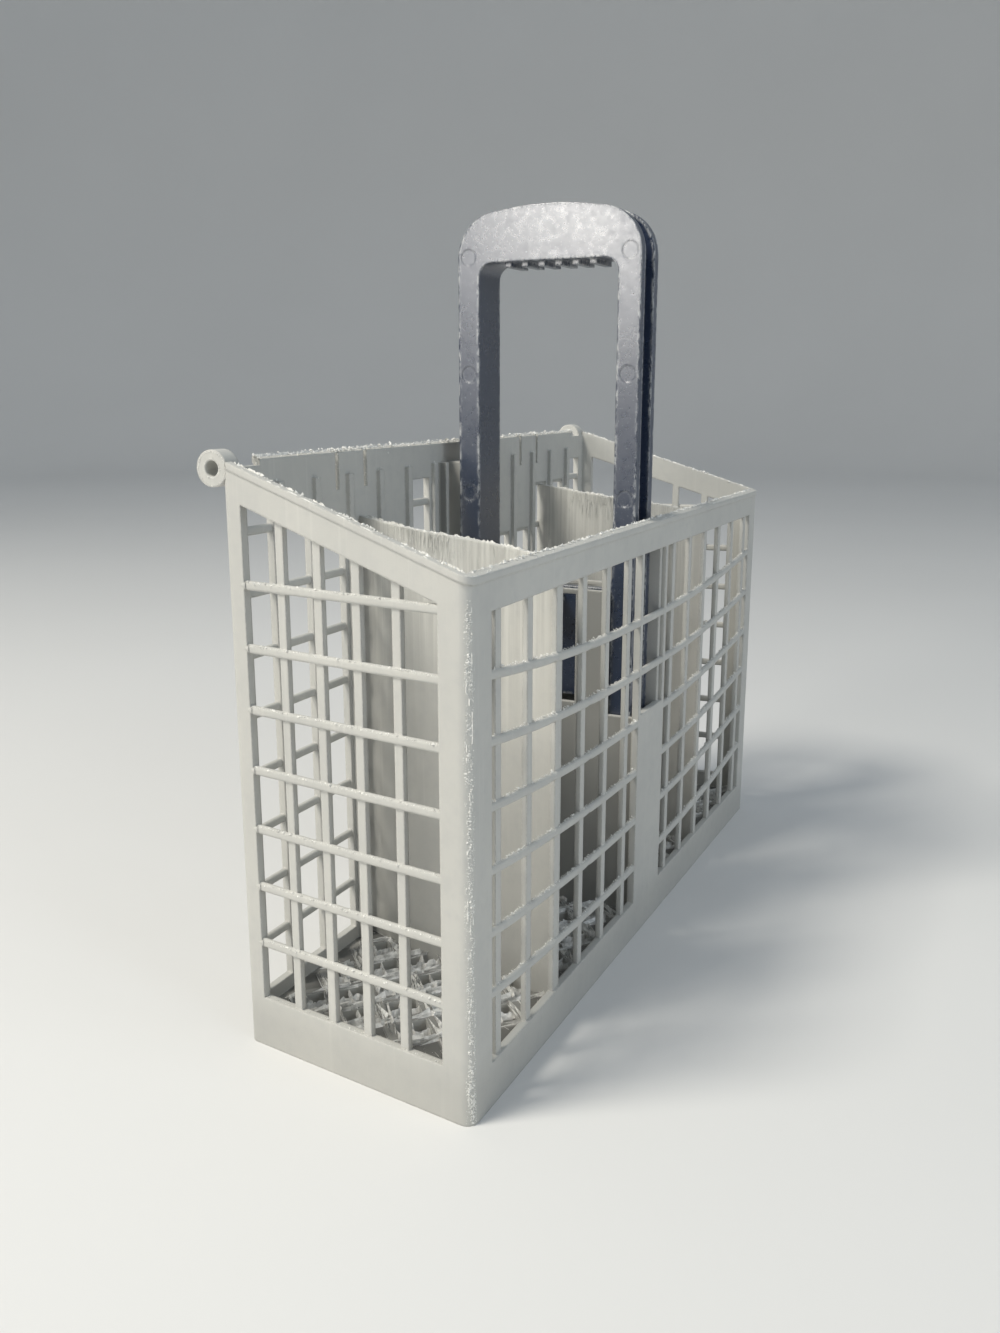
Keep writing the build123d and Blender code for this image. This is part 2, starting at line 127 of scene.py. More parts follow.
# Colours of the grey basket
GREY = (0.50, 0.497, 0.47, 1)
LIGHT_GREY = (0.565, 0.558, 0.522, 1)
MOTTLED_GREY = (0.45, 0.452, 0.44, 1)
STREAK_GREY = (0.66, 0.65, 0.61, 1)
FIBRE_AND_LIGHT_CREAM = (0.74, 0.735, 0.69, 1)
POCKET_SHADE_GREY = (0.21, 0.21, 0.20, 1)
FLOOR_SHADE_GREY = (0.16, 0.158, 0.152, 1)
DIAMOND_SHADE_GREY = (0.07, 0.07, 0.068, 1)
FOOT_SHADE_GREY = (0.33, 0.325, 0.30, 1)
WORN_AND_HIGHLIGHT_CREAM = (0.78, 0.77, 0.73, 1)
FLASH_GREY = (0.64, 0.635, 0.60, 1)
FLASH_CREAM = (0.88, 0.87, 0.83, 1)
BLADE_GREY = (0.62, 0.615, 0.59, 1)
BLADE_CREAM = (0.95, 0.94, 0.91, 1)

# Colours of the navy handle
NAVY = (0.014, 0.025, 0.056, 1)
LIGHT_NAVY = (0.022, 0.037, 0.076, 1)
DUST_GREY = (0.26, 0.28, 0.31, 1)
SCUFF_AND_HIGHLIGHT_GREY = (0.66, 0.67, 0.67, 1)
TORN_NAVY = (0.20, 0.215, 0.24, 1)
TORN_GREY = (0.76, 0.765, 0.76, 1)

# The ground and the lamps, in metres
GROUND_FLAT = 2.2
GROUND_BEND = 0.8
GROUND_RISE = 2.4
KEY_PLACE = (-0.68, 0.48, 1.22)
KEY_TARGET = (0, 0, 0.08)
WINDOW_PLACE = (-1.10, 0.41, 0.43)
WINDOW_TARGET = (0, 0, 0.18)
FILL_PLACE = (-0.3, -1.4, 0.8)
FILL_TARGET = (0, 0, 0.1)

# Colours of the ground and the light
GROUND_GREY = (0.70, 0.697, 0.687, 1)
GROUND_PALE = (0.74, 0.737, 0.727, 1)
WARM_LIGHT = (1.0, 0.955, 0.86)
WINDOW_LIGHT = (1.0, 0.97, 0.91)
COOL_LIGHT = (0.80, 0.90, 1.0)
SKY = (0.82, 0.91, 1.0, 1)
SKY_STRENGTH = 0.41

# Refractive indices, set higher than the plastic's own on the handle for its sheen
BASKET_IOR = 1.49
HANDLE_IOR = 1.64
TORN_IOR = 1.52


class Wire:
    """One shader socket. Arithmetic on it adds Math nodes to its finish."""

    def __init__(self, finish, socket):
        self.finish = finish
        self.socket = socket

    def math(self, operation, *values):
        return self.finish.node("ShaderNodeMath", {"operation": operation}, dict(enumerate(values)))

    def __add__(self, other):
        return self.math("ADD", self, other)

    def __radd__(self, other):
        return self.math("ADD", other, self)

    def __sub__(self, other):
        return self.math("SUBTRACT", self, other)

    def __rsub__(self, other):
        return self.math("SUBTRACT", other, self)

    def __mul__(self, other):
        return self.math("MULTIPLY", self, other)

    def __rmul__(self, other):
        return self.math("MULTIPLY", other, self)

    def __abs__(self):
        return self.math("ABSOLUTE", self)


class Finish:
    """A material that is being put together."""

    def __init__(self, name):
        self.material = bpy.data.materials.new(name)
        self.material.use_nodes = True
        self.tree = self.material.node_tree
        self.tree.nodes.clear()

    def node(self, kind, settings, sockets, output=0):
        """Adds a node: its settings first, then the values or links of its sockets."""
        made = self.tree.nodes.new(kind)
        for name, value in settings.items():
            setattr(made, name, value)
        for name, value in sockets.items():
            if isinstance(value, Wire):
                self.tree.links.new(value.socket, made.inputs[name])
            else:
                made.inputs[name].default_value = value
        return Wire(self, made.outputs[output]) if made.outputs else None

    def place(self):
        return self.node("ShaderNodeTexCoord", {}, {}, "Object")

    def axis(self, vector, name):
        return self.node("ShaderNodeSeparateXYZ", {}, {0: vector}, name)

    def stretched(self, vector, scale):
        return self.node("ShaderNodeVectorMath", {"operation": "MULTIPLY"}, {0: vector, 1: scale})

    def noise(self, vector, scale, detail=2.0, rough=0.5):
        sockets = {"Vector": vector, "Scale": scale, "Detail": detail, "Roughness": rough}
        return self.node("ShaderNodeTexNoise", {}, sockets, "Fac")

    def between(self, value, low, high):
        """0 at low and 1 at high, clamped, with low above high for a fall."""
        sockets = {"Value": value, "From Min": low, "From Max": high}
        return self.node("ShaderNodeMapRange", {}, sockets)

    def mix(self, factor, first, second):
        sockets = {"Factor": factor, 6: first, 7: second}
        return self.node("ShaderNodeMix", {"data_type": "RGBA"}, sockets, 2)

    def rounded(self, radius):
        """The surface's normal with its sharp edges softened."""
        return self.node("ShaderNodeBevel", {"samples": 5}, {"Radius": radius})

    def edges(self, rounded, low, high):
        """Nearness to a sharp edge, from 0 on the flat to 1 on the edge."""
        flat = self.node("ShaderNodeNewGeometry", {}, {}, "True Normal")
        sockets = {0: rounded, 1: flat}
        facing = self.node("ShaderNodeVectorMath", {"operation": "DOT_PRODUCT"}, sockets, "Value")
        return self.between(1 - facing, low, high)

    def bump(self, height, distance, strength, normal=None):
        sockets = {"Height": height, "Distance": distance, "Strength": strength}
        if normal:
            sockets["Normal"] = normal
        return self.node("ShaderNodeBump", {}, sockets)

    def surface(self, colour, roughness, normal=None, ior=1.5, shine=0.5):
        sockets = {"Base Color": colour, "Roughness": roughness, "IOR": ior, "Specular IOR Level": shine}
        if normal:
            sockets["Normal"] = normal
        shader = self.node("ShaderNodeBsdfPrincipled", {}, sockets)
        self.node("ShaderNodeOutputMaterial", {}, {"Surface": shader})
        return self.material


def basket_plastic():
    """Light grey polypropylene: cloudy, faintly streaked, bleached and rough along its edges, partly a
    painted highlight there, with painted shade on the floor, at the walls' foot and on the pocket's
    outer faces.
    """
    finish = Finish("basket_plastic")
    place = finish.place()
    cloud = finish.noise(place, 22.0, 3.0)
    mottle = finish.noise(place, 260.0, 3.0, 0.6)
    streaks = finish.noise(finish.stretched(place, (620.0, 620.0, 16.0)), 1.0, 3.0, 0.6)
    grain = finish.noise(place, 2400.0, 2.0)
    specks = finish.noise(place, 1300.0, 1.0)

    colour = finish.mix(finish.between(cloud, 0.32, 0.68), GREY, LIGHT_GREY)
    colour = finish.mix(0.35 * finish.between(mottle, 0.45, 0.75), colour, MOTTLED_GREY)
    colour = finish.mix(0.3 * finish.between(streaks, 0.58, 0.76), colour, STREAK_GREY)

    # The dividers' upper ends are fibrous and bleached to cream, with painted light that grows towards
    # the top
    across = abs(finish.axis(place, "Y") - plan_middle)
    along = abs(finish.axis(place, "X"))
    inside = finish.between(across, WIDTH / 2 - 1.8 * WALL, WIDTH / 2 - 2.5 * WALL)
    inside = inside * finish.between(along, DIVIDER_BACK_PLACE - 6 * MM, DIVIDER_BACK_PLACE - 4 * MM)
    inside = inside * finish.between(along, DIVIDER_FRONT_PLACE + 6 * MM, DIVIDER_FRONT_PLACE + 4 * MM)
    high = finish.between(finish.axis(place, "Z"), 0.62 * DIVIDER_FRONT_HEIGHT, DIVIDER_FRONT_HEIGHT)
    fibres_and_light = inside * high * finish.between(streaks, 0.36, 0.6)
    colour = finish.mix(0.7 * fibres_and_light, colour, FIBRE_AND_LIGHT_CREAM)

    # The outer faces of the handle's pocket are darkened with painted shade
    flat = finish.node("ShaderNodeNewGeometry", {}, {}, "True Normal")
    pocket = finish.between(abs(along - POCKET_OUTER), 0.6 * MM, 0.3 * MM)
    pocket = pocket * finish.between(abs(finish.axis(flat, "X")), 0.7, 0.9)
    pocket = pocket * finish.between(across, WIDTH / 2 - 1.2 * WALL, WIDTH / 2 - 1.5 * WALL)
    colour = finish.mix((0.5 + 0.4 * cloud) * pocket, colour, POCKET_SHADE_GREY)

    # The floor's top is darkened with painted shade, and where it is solid along the walls its lattice
    # goes on as diamonds of painted shade
    facing = finish.axis(flat, "Z")
    above = abs(finish.axis(place, "Z") - FLOOR_TOP)
    floor = finish.between(facing, 0.5, 0.8) * finish.between(above, 0.6 * MM, 0.3 * MM)
    colour = finish.mix(0.75 * floor, colour, FLOOR_SHADE_GREY)
    # Diamonds of painted shade where the lattice's holes would show the dark beneath
    length = finish.axis(place, "X") * (1 / DIAMOND_LENGTH)
    breadth = (finish.axis(place, "Y") - plan_middle) * (1 / DIAMOND_WIDTH)
    diamonds = floor
    for slanted in (length + breadth, length - breadth):
        diamonds = diamonds * finish.between(abs(slanted.math("FRACT", slanted) - 0.5), 0.41, 0.36)
    colour = finish.mix(0.9 * diamonds, colour, DIAMOND_SHADE_GREY)

    # The walls are darker towards their foot, with painted shade
    low = finish.between(finish.axis(place, "Z"), END_SILL + 4 * MM, END_SILL - 6 * MM)
    colour = finish.mix(0.3 * low, colour, FOOT_SHADE_GREY)

    rounded = finish.rounded(BASKET_EDGE)
    # Pale wear along sharp edges, partly a painted highlight
    worn_and_highlit = finish.edges(rounded, 0.05, 0.28) * (0.25 + 0.75 * finish.between(specks, 0.4, 0.6))
    colour = finish.mix(0.7 * worn_and_highlit, colour, WORN_AND_HIGHLIGHT_CREAM)

    roughness = 0.42 + 0.16 * cloud + 0.14 * mottle + 0.2 * worn_and_highlit
    height = grain * 0.35 + mottle * 0.5 + streaks * (0.4 + 1.6 * fibres_and_light) + worn_and_highlit * specks
    normal = finish.bump(height, 0.12 * MM, 0.5, rounded)
    return finish.surface(colour, roughness, normal, BASKET_IOR)


def handle_plastic():
    """Very dark navy polypropylene with a satin sheen, scuffed pale in places along its edges, partly a
    painted highlight there.
    """
    finish = Finish("handle_plastic")
    place = finish.place()
    cloud = finish.noise(place, 45.0, 3.0)
    mottle = finish.noise(place, 420.0, 4.0, 0.65)
    grain = finish.noise(place, 2600.0, 2.0)
    patches = finish.noise(place, 130.0, 2.0)
    specks = finish.noise(finish.stretched(place, (900.0, 900.0, 420.0)), 1.0, 3.0, 0.75)
    dust = finish.noise(place, 1700.0, 1.0)

    colour = finish.mix(cloud, NAVY, LIGHT_NAVY)
    rounded = finish.rounded(HANDLE_EDGE)
    # Pale scuffs along the edges, partly a painted highlight
    near_edge = finish.edges(finish.rounded(SCUFF_REACH), 0.003, 0.06)
    scuffed = near_edge * finish.between(specks, 0.44, 0.56)
    scuffed = scuffed * (0.3 + 0.7 * finish.between(patches, 0.40, 0.56))
    dusted = 0.6 * finish.between(dust, 0.69, 0.78)
    colour = finish.mix(dusted, colour, DUST_GREY)
    colour = finish.mix(0.85 * scuffed, colour, SCUFF_AND_HIGHLIGHT_GREY)

    roughness = 0.17 + 0.16 * mottle + 0.08 * cloud + 0.25 * scuffed
    height = grain * 0.3 + mottle * 0.6 + scuffed * 0.8
    normal = finish.bump(height, 0.08 * MM, 0.4, rounded)
    return finish.surface(colour, roughness, normal, HANDLE_IOR, shine=1.0)


def scuff_plastic():
    """The handle's plastic torn up along an edge, where it goes pale."""
    finish = Finish("scuff_plastic")
    place = finish.place()
    lumps = finish.noise(place, 900.0, 2.0, 0.6)
    fine = finish.noise(place, 2600.0, 2.0)
    colour = finish.mix(finish.between(lumps, 0.38, 0.62), TORN_NAVY, TORN_GREY)
    roughness = 0.3 + 0.3 * fine
    normal = finish.bump(fine, 0.1 * MM, 0.5)
    return finish.surface(colour, roughness, normal, TORN_IOR)


def flash_plastic():
    """Thin ragged flash: the basket's plastic, bleached where it is stretched thin."""
    finish = Finish("flash_plastic")
    place = finish.place()
    lumps = finish.noise(place, 700.0, 3.0, 0.7)
    fine = finish.noise(place, 2600.0, 2.0)
    colour = finish.mix(finish.between(lumps, 0.35, 0.65), FLASH_GREY, FLASH_CREAM)
    roughness = 0.34 + 0.3 * fine
    normal = finish.bump(lumps * 0.6 + fine * 0.4, 0.15 * MM, 0.6)
    return finish.surface(colour, roughness, normal, BASKET_IOR)


def shard_plastic():
    """Glossy slivers on the floor, from pale to grey."""
    finish = Finish("shard_plastic")
    place = finish.place()
    patches = finish.noise(place, 420.0, 2.0, 0.6)
    fine = finish.noise(place, 2600.0, 2.0)
    colour = finish.mix(finish.between(patches, 0.4, 0.6), BLADE_GREY, BLADE_CREAM)
    roughness = 0.18 + 0.25 * fine
    normal = finish.bump(fine, 0.1 * MM, 0.4)
    return finish.surface(colour, roughness, normal, BASKET_IOR)


def ground_paper():
    """Plain pale ground."""
    finish = Finish("pale_ground")
    cloud = finish.noise(finish.place(), 3.0, 2.0)
    colour = finish.mix(cloud, GROUND_GREY, GROUND_PALE)
    return finish.surface(colour, roughness=0.9)


class Flash:
    """A mesh of the small ragged bits that the moulding left behind."""

    def __init__(self, seed):
        self.chance = random.Random(seed)
        self.vertices = []
        self.faces = []

    def add(self, vertices, faces):
        first = len(self.vertices)
        self.vertices += vertices
        self.faces += [tuple(first + i for i in face) for face in faces]

    def spots(self, path, step):
        """Places about a step apart along a path of points, each with the path's direction there."""
        for start, end in zip(path, path[1:]):
            run = end - start
            count = max(1, round(run.length / step))
            for i in range(count):
                yield start + run * ((i + self.chance.uniform(0, 0.8)) / count), run.normalized()

    def fin(self, path, up, tall, thick, step, least=0.05):
        """A thin fin along a path, its height wandering up to tall."""
        height = self.chance.random()
        lean = 0.0
        vertices = []
        for spot, run in self.spots(path, step):
            side = up.cross(run).normalized()
            height = min(1.0, max(least, height + self.chance.uniform(-0.5, 0.46)))
            lean = 0.6 * lean + self.chance.uniform(-0.25, 0.25)
            rise = tall * height**2
            half = thick * self.chance.uniform(0.35, 0.55)
            vertices += [spot - side * half, spot + up * rise + side * (lean * rise), spot + side * half]
        faces = [(0, 1, 2)]
        for a in range(0, len(vertices) - 3, 3):
            b = a + 3
            faces += [(a, b, b + 1, a + 1), (a + 1, b + 1, b + 2, a + 2), (a + 2, b + 2, b, a)]
        last = len(vertices) - 3
        faces.append((last + 2, last + 1, last))
        self.add(vertices, faces)

    def crumb(self, middle, size):
        """A small lump with six uneven corners."""
        corners = []
        for way in ((1, 0, 0), (0, 1, 0), (-1, 0, 0), (0, -1, 0), (0, 0, 1), (0, 0, -1)):
            shake = Vector([self.chance.uniform(-0.35, 0.35) for _ in range(3)])
            corners.append(middle + (Vector(way) * self.chance.uniform(0.6, 1.0) + shake) * size)
        faces = [(i, (i + 1) % 4, 4) for i in range(4)] + [((i + 1) % 4, i, 5) for i in range(4)]
        self.add(corners, faces)

    def crumbs(self, path, step, small, large, spread):
        """Lumps scattered along a path, most of them small."""
        for spot, _ in self.spots(path, step):
            shake = Vector([self.chance.uniform(-spread, spread) for _ in range(3)])
            self.crumb(spot + shake, small + (large - small) * self.chance.random() ** 4)

    def sliver(self, root, run, side, out, thick):
        """A pointed sliver that lies along run, and stands out from its root."""
        tip = root + run
        self.add(
            [root - side * thick, root + side * thick, root + out, tip],
            [(0, 2, 1), (0, 3, 2), (1, 2, 3), (0, 1, 3)],
        )

    def piece(self, name, material, body="basket"):
        mesh = bpy.data.meshes.new(name)
        mesh.from_pydata(self.vertices, [], self.faces)
        mesh.validate()
        mesh.materials.append(material)
        made = bpy.data.objects.new(name, mesh)
        bpy.context.scene.collection.objects.link(made)
        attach(made, body)


def rim_top(y):
    return FRONT_HEIGHT + (BACK_HEIGHT - FRONT_HEIGHT) * (y - front_face) / WIDTH


def end_x(y):
    """Half the basket's length at a place across it."""
    return FRONT_LENGTH / 2 - end_skew * (y - front_face) / WIDTH


def rim_path(inset):
    """The rim's top, inset from the walls, from the back of one end round to the back of the other."""
    front = front_face + inset
    back = back_face - inset
    corners = [
        Vector((-end_x(back) + inset, back, 0)),
        Vector((-end_x(front) + inset, front, 0)),
        Vector((end_x(front) - inset, front, 0)),
        Vector((end_x(back) - inset, back, 0)),
    ]
    reach = max(CORNER_RADIUS - inset, 0.2 * MM)
    path = [corners[0].lerp(corners[1], reach / WIDTH)]
    for before, corner, after in zip(corners, corners[1:], corners[2:]):
        start = corner + (before - corner).normalized() * reach
        end = corner + (after - corner).normalized() * reach
        for i in range(5):
            path.append(start.lerp(corner, i / 4).lerp(corner.lerp(end, i / 4), i / 4))
    path.append(corners[3].lerp(corners[2], reach / WIDTH))
    return [Vector((p.x, p.y, rim_top(p.y) - FLASH_SINK)) for p in path]


def back_runs(inset):
    """The stretches of the back wall's top between its slits and its end notches."""
    reach = BACK_LENGTH / 2 - BACK_NOTCH_LENGTH
    slits = [side * (place + edge * BACK_SLIT_WIDTH / 2)
             for side in (-1, 1) for place in BACK_SLIT_PLACES for edge in (-1, 1)]
    stops = sorted(slits + [-reach, reach])
    y = back_face - inset
    top = BACK_HEIGHT - FLASH_SINK
    runs = zip(stops[::2], stops[1::2])
    return [[Vector((low, y, top)), Vector((high, y, top))] for low, high in runs]


def slit_lumps(flash, end):
    """Lumps at one end of a stretch of the back wall's top, and crumbs down the wall below them."""
    for _ in range(SLIT_LUMPS):
        shake = Vector([flash.chance.uniform(-1, 1) for _ in range(3)])
        spot = end + Vector((shake.x * 0.6, shake.y * 1.0, shake.z * 0.5)) * MM
        flash.crumb(spot, flash.chance.uniform(0.25, 0.7) * MM)
    for _ in range(SLIT_CRUMBS):
        across = flash.chance.uniform(-0.3, 0.3) * MM
        through = flash.chance.uniform(-1.1, 0.6) * MM
        down = flash.chance.uniform(0.5 * MM, BACK_SLIT_DEPTH)
        spot = end + Vector((across, through, -down))
        flash.crumb(spot, flash.chance.uniform(0.12, 0.35) * MM)


def rib_lumps(flash, side):
    """Lumps on the tops of the back wall's ribs, on one side of the middle."""
    for place in BACK_RIB_PLACES:
        spot = Vector((side * place, back_face - WALL - BACK_RIB_PROUD / 2, BACK_RIB_TOP))
        for _ in range(RIB_LUMPS):
            shake = Vector([flash.chance.uniform(-0.7, 0.7) for _ in range(3)]) * MM
            flash.crumb(spot + shake, flash.chance.uniform(0.2, 0.45) * MM)


def eye_crumbs(flash, side):
    """Crumbs on both faces of one hinge eye, round its edge and round its hole."""
    eye_x = side * (BACK_LENGTH - EYE_WIDTH) / 2
    eye = Vector((eye_x, back_face + EYE_BEHIND_WALL, BACK_HEIGHT - EYE_BELOW_TOP))
    edge_ring = (EYE_RADIUS - 0.5 * MM, 0.25 * MM)
    hole_ring = (EYE_HOLE_RADIUS + 0.4 * MM, 0.5 * MM)
    for face in (-1, 1):
        for radius, step in (edge_ring, hole_ring):
            ring = []
            for i in range(RING_POINTS + 1):
                turn = 2 * math.pi * i / RING_POINTS
                out = Vector((0, math.cos(turn), math.sin(turn))) * radius
                ring.append(eye + out + Vector((face * EYE_WIDTH / 2, 0, 0)))
            flash.crumbs(ring, step, small=0.12 * MM, large=0.36 * MM, spread=0.1 * MM)


def rim_flash(material):
    """Fine flash along the rim's edges, with lumps at the slits, the hinge eyes and the back ribs."""
    flash = Flash(11)
    for inset, tall, thick in ((0.45 * MM - BEAD_PROUD, 0.25, 0.3), (WALL - 0.25 * MM, 0.6, 0.25)):
        flash.fin(rim_path(inset), UP, tall * MM, thick * MM, step=0.3 * MM)
        for run in back_runs(inset):
            flash.fin(run, UP, tall=0.6 * MM, thick=0.4 * MM, step=0.25 * MM)
    outer_edge = rim_path(0.7 * MM)
    inner_edge = rim_path(WALL - 0.4 * MM)
    flash.crumbs(outer_edge, step=1.6 * MM, small=0.05 * MM, large=0.34 * MM, spread=0.15 * MM)
    flash.crumbs(inner_edge, step=0.25 * MM, small=0.1 * MM, large=0.75 * MM, spread=0.3 * MM)
    for run in back_runs(WALL / 2):
        below = [spot - UP * 0.7 * MM for spot in run]
        flash.crumbs(run, step=0.35 * MM, small=0.12 * MM, large=0.75 * MM, spread=0.7 * MM)
        flash.crumbs(below, step=0.9 * MM, small=0.1 * MM, large=0.5 * MM, spread=1.2 * MM)
        for end in run:
            slit_lumps(flash, end)
    for side in (-1, 1):
        rib_lumps(flash, side)
        eye_crumbs(flash, side)
    flash.piece("rim_flash", material)


def rail_flash(material):
    """Specks along the rails of the end and the front walls, and along the end walls' sills."""
    flash = Flash(17)
    for side in (-1, 1):
        front = front_face + END_FRONT_POST
        back = back_face - END_BACK_POST
        for i in range(END_RAILS):
            height = END_SILL + ROW_PITCH * (i + 1) + 0.38 * RAIL_HEIGHT
            path = [Vector((side * (end_x(y) - 0.3 * MM), y, height)) for y in (front, back)]
            flash.crumbs(path, step=0.28 * MM, small=0.12 * MM, large=0.5 * MM, spread=0.22 * MM)
        path = [Vector((side * (end_x(y) - 0.8 * MM), y, END_SILL)) for y in (front, back)]
        flash.crumbs(path, step=0.4 * MM, small=0.1 * MM, large=0.42 * MM, spread=0.25 * MM)
        inner = CENTRE_POST_WIDTH / 2
        outer = FRONT_LENGTH / 2 - FRONT_POST
        for i in range(FRONT_RAILS):
            path = []
            for j in range(17):
                ahead = j / 16
                droop = FRONT_RAIL_DROOP * (1 - ahead**2)
                height = END_SILL + ROW_PITCH * (i + 1) - droop + 0.5 * RAIL_HEIGHT
                x = side * (inner + (outer - inner) * ahead)
                path.append(Vector((x, front_face + 0.9 * MM, height)))
            flash.crumbs(path, step=0.24 * MM, small=0.12 * MM, large=0.48 * MM, spread=0.4 * MM)
    flash.piece("rail_flash", material)


def rail_tips(material):
    """Pointed ends of the end walls' rails, run out over the back posts."""
    flash = Flash(19)
    for side in (-1, 1):
        jamb = back_face - END_BACK_POST * WIDTH / end_run
        for i in range(END_RAILS):
            height = END_SILL + ROW_PITCH * (i + 1)
            root = Vector((side * (end_x(jamb) - 0.15 * MM), jamb - 0.6 * MM, height))
            tip = Vector((side * (end_x(jamb + TIP_LENGTH) - 0.1 * MM), jamb + TIP_LENGTH, height))
            ring = []
            for j in range(TIP_SIDES):
                turn = 2 * math.pi * j / TIP_SIDES
                ring.append(root + Vector((0.45 * math.cos(turn) * MM, 0, 1.1 * math.sin(turn) * MM)))
            sides = [(j, (j + 1) % TIP_SIDES, TIP_SIDES) for j in range(TIP_SIDES)]
            flash.add(ring + [tip], sides + [tuple(reversed(range(TIP_SIDES)))])
    flash.piece("rail_tips", material)


def corner_flash(material):
    """Rough seams up the rounded front corners, rougher at the foot."""
    flash = Flash(23)
    top = FRONT_HEIGHT - 5 * MM
    pull = CORNER_RADIUS * (end_run + end_skew) / WIDTH
    for side in (-1, 1):
        middle = Vector((side * (FRONT_LENGTH / 2 - pull), front_face + CORNER_RADIUS, 0))
        for turn in SEAM_TURNS:
            angle = math.radians(turn)
            out = Vector((side * math.cos(angle), -math.sin(angle), 0))
            foot = middle + out * (CORNER_RADIUS - 0.1 * MM)
            low = flash.chance.uniform(1, 4) * MM
            while low < top:
                high = min(top, low + flash.chance.uniform(3, 12) * MM)
                seam = [foot + UP * low, foot + UP * high]
                flash.fin(seam, out, tall=0.3 * MM, thick=0.5 * MM, step=0.45 * MM)
                low = high + flash.chance.uniform(0.5, 9) * MM
        for _ in range(CORNER_CLUSTERS):
            knot = 1.5 * MM + (top - 1.5 * MM) * flash.chance.random() ** 1.5
            lie = flash.chance.gauss(47, 13)
            for _ in range(flash.chance.randint(3, 22)):
                angle = math.radians(min(72, max(18, flash.chance.gauss(lie, 3))))
                out = Vector((side * math.cos(angle), -math.sin(angle), 0))
                room = CORNER_RADIUS * (1 / max(math.cos(angle), math.sin(angle)) - 1)
                height = min(top, max(0.8 * MM, flash.chance.gauss(knot, 1.3 * MM)))
                size = min((0.1 + 0.36 * flash.chance.random() ** 3) * MM, 0.85 * room)
                flash.crumb(middle + out * (CORNER_RADIUS - 0.2 * size) + UP * height, size)
    flash.piece("corner_flash", material)


def divider_path(side, offset):
    """One divider's top edge, offset from the middle of its thickness."""
    path = []
    for i in range(41):
        ahead = 0.05 + 0.9 * i / 40
        half = 2 * ahead % 1
        sway = DIVIDER_SWAY * 4 * half * (1 - half) * (1 if ahead < 0.5 else -1)
        x = -DIVIDER_FRONT_PLACE + (DIVIDER_FRONT_PLACE - DIVIDER_BACK_PLACE) * ahead + sway + offset
        y = (ahead - 0.5) * (WIDTH - WALL)
        if side > 0:
            x, y = -x, -y
        z = DIVIDER_FRONT_HEIGHT + (DIVIDER_BACK_HEIGHT - DIVIDER_FRONT_HEIGHT) * (y / WIDTH + 0.5)
        path.append(Vector((x, plan_middle + y, z)))
    return path


def divider_fringe(material):
    """Frayed tops of the dividers, with slivers that hang down their faces."""
    flash = Flash(29)
    for side in (-1, 1):
        for face in (-1, 1):
            offset = face * DIVIDER_WALL / 2
            crest = divider_path(side, 0.7 * offset)
            flash.fin(crest, UP, tall=0.6 * MM, thick=0.3 * MM, step=0.22 * MM)
            for spot, run in flash.spots(divider_path(side, offset), 0.16 * MM):
                root = spot - UP * (flash.chance.random() ** 2 * 7 * MM)
                fall = UP * -flash.chance.uniform(1.5, 6.0) * MM
                out = Vector((-side * face, 0, 0)) * flash.chance.uniform(0.05, 0.14) * MM
                flash.sliver(root, fall, run, out, flash.chance.uniform(0.03, 0.1) * MM)
    flash.piece("divider_fringe", material)


def on_floor(spot):
    within = abs(spot.y - plan_middle) < WIDTH / 2 - FLOOR_MARGIN
    return within and abs(spot.x) < end_x(spot.y) - FLOOR_MARGIN


def floor_ribs(material):
    """Thin ribs that part the floor's diamonds into smaller ones, almost up to the walls."""
    flash = Flash(31)
    for fewer in (0, 1):
        columns = DIAMOND_COLUMNS + 2 - fewer
        rows = DIAMOND_ROWS + 2 - fewer
        for column in range(columns):
            for row in range(rows):
                x = (column - (columns - 1) / 2) * DIAMOND_LENGTH
                y = plan_middle + (row - (rows - 1) / 2) * DIAMOND_WIDTH
                middle = Vector((x, y, FLOOR_TOP - FLOOR_RIB_FOOT))
                for slant in (-1, 1):
                    reach = Vector((DIAMOND_LENGTH, slant * DIAMOND_WIDTH, 0)) / 4
                    ends = [middle - reach, middle, middle + reach]
                    ends = [spot for spot in ends if on_floor(spot)]
                    if len(ends) > 1:
                        flash.fin(ends, UP, FLOOR_RIB_HEIGHT, FLOOR_RIB_WIDTH, step=0.8 * MM, least=0.8)
    flash.piece("floor_ribs", material)


def floor_shards(material):
    """Long thin blades of flash that lie along the floor's bars."""
    flash = Flash(37)
    chance = flash.chance
    bars = int(FRONT_LENGTH / DIAMOND_LENGTH / 2) + 4
    for _ in range(BLADE_TRIES):
        slant = chance.choice((-1, 1))
        along = chance.uniform(-2.1, 2.1)
        bar = chance.randint(-bars, bars)
        x = (bar - slant * along) * DIAMOND_LENGTH
        place = Vector((x, along * DIAMOND_WIDTH + plan_middle, FLOOR_TOP))
        turn = math.atan2(DIAMOND_WIDTH, -slant * DIAMOND_LENGTH) + chance.gauss(0, 0.09)
        run = Vector((math.cos(turn), math.sin(turn), chance.uniform(-0.02, 0.08)))
        side = Vector((-math.sin(turn), math.cos(turn), 0))
        root = place + side * chance.uniform(-1.5, 1.5) * MM - UP * 0.3 * MM
        run = run * chance.uniform(4.0, 12.0) * MM
        if on_floor(root) and on_floor(root + run):
            out = (UP + side * chance.uniform(-0.6, 0.6)) * chance.uniform(0.6, 1.9) * MM
            flash.sliver(root, run, side, out, chance.uniform(0.1, 0.4) * MM)
    flash.piece("floor_shards", material)


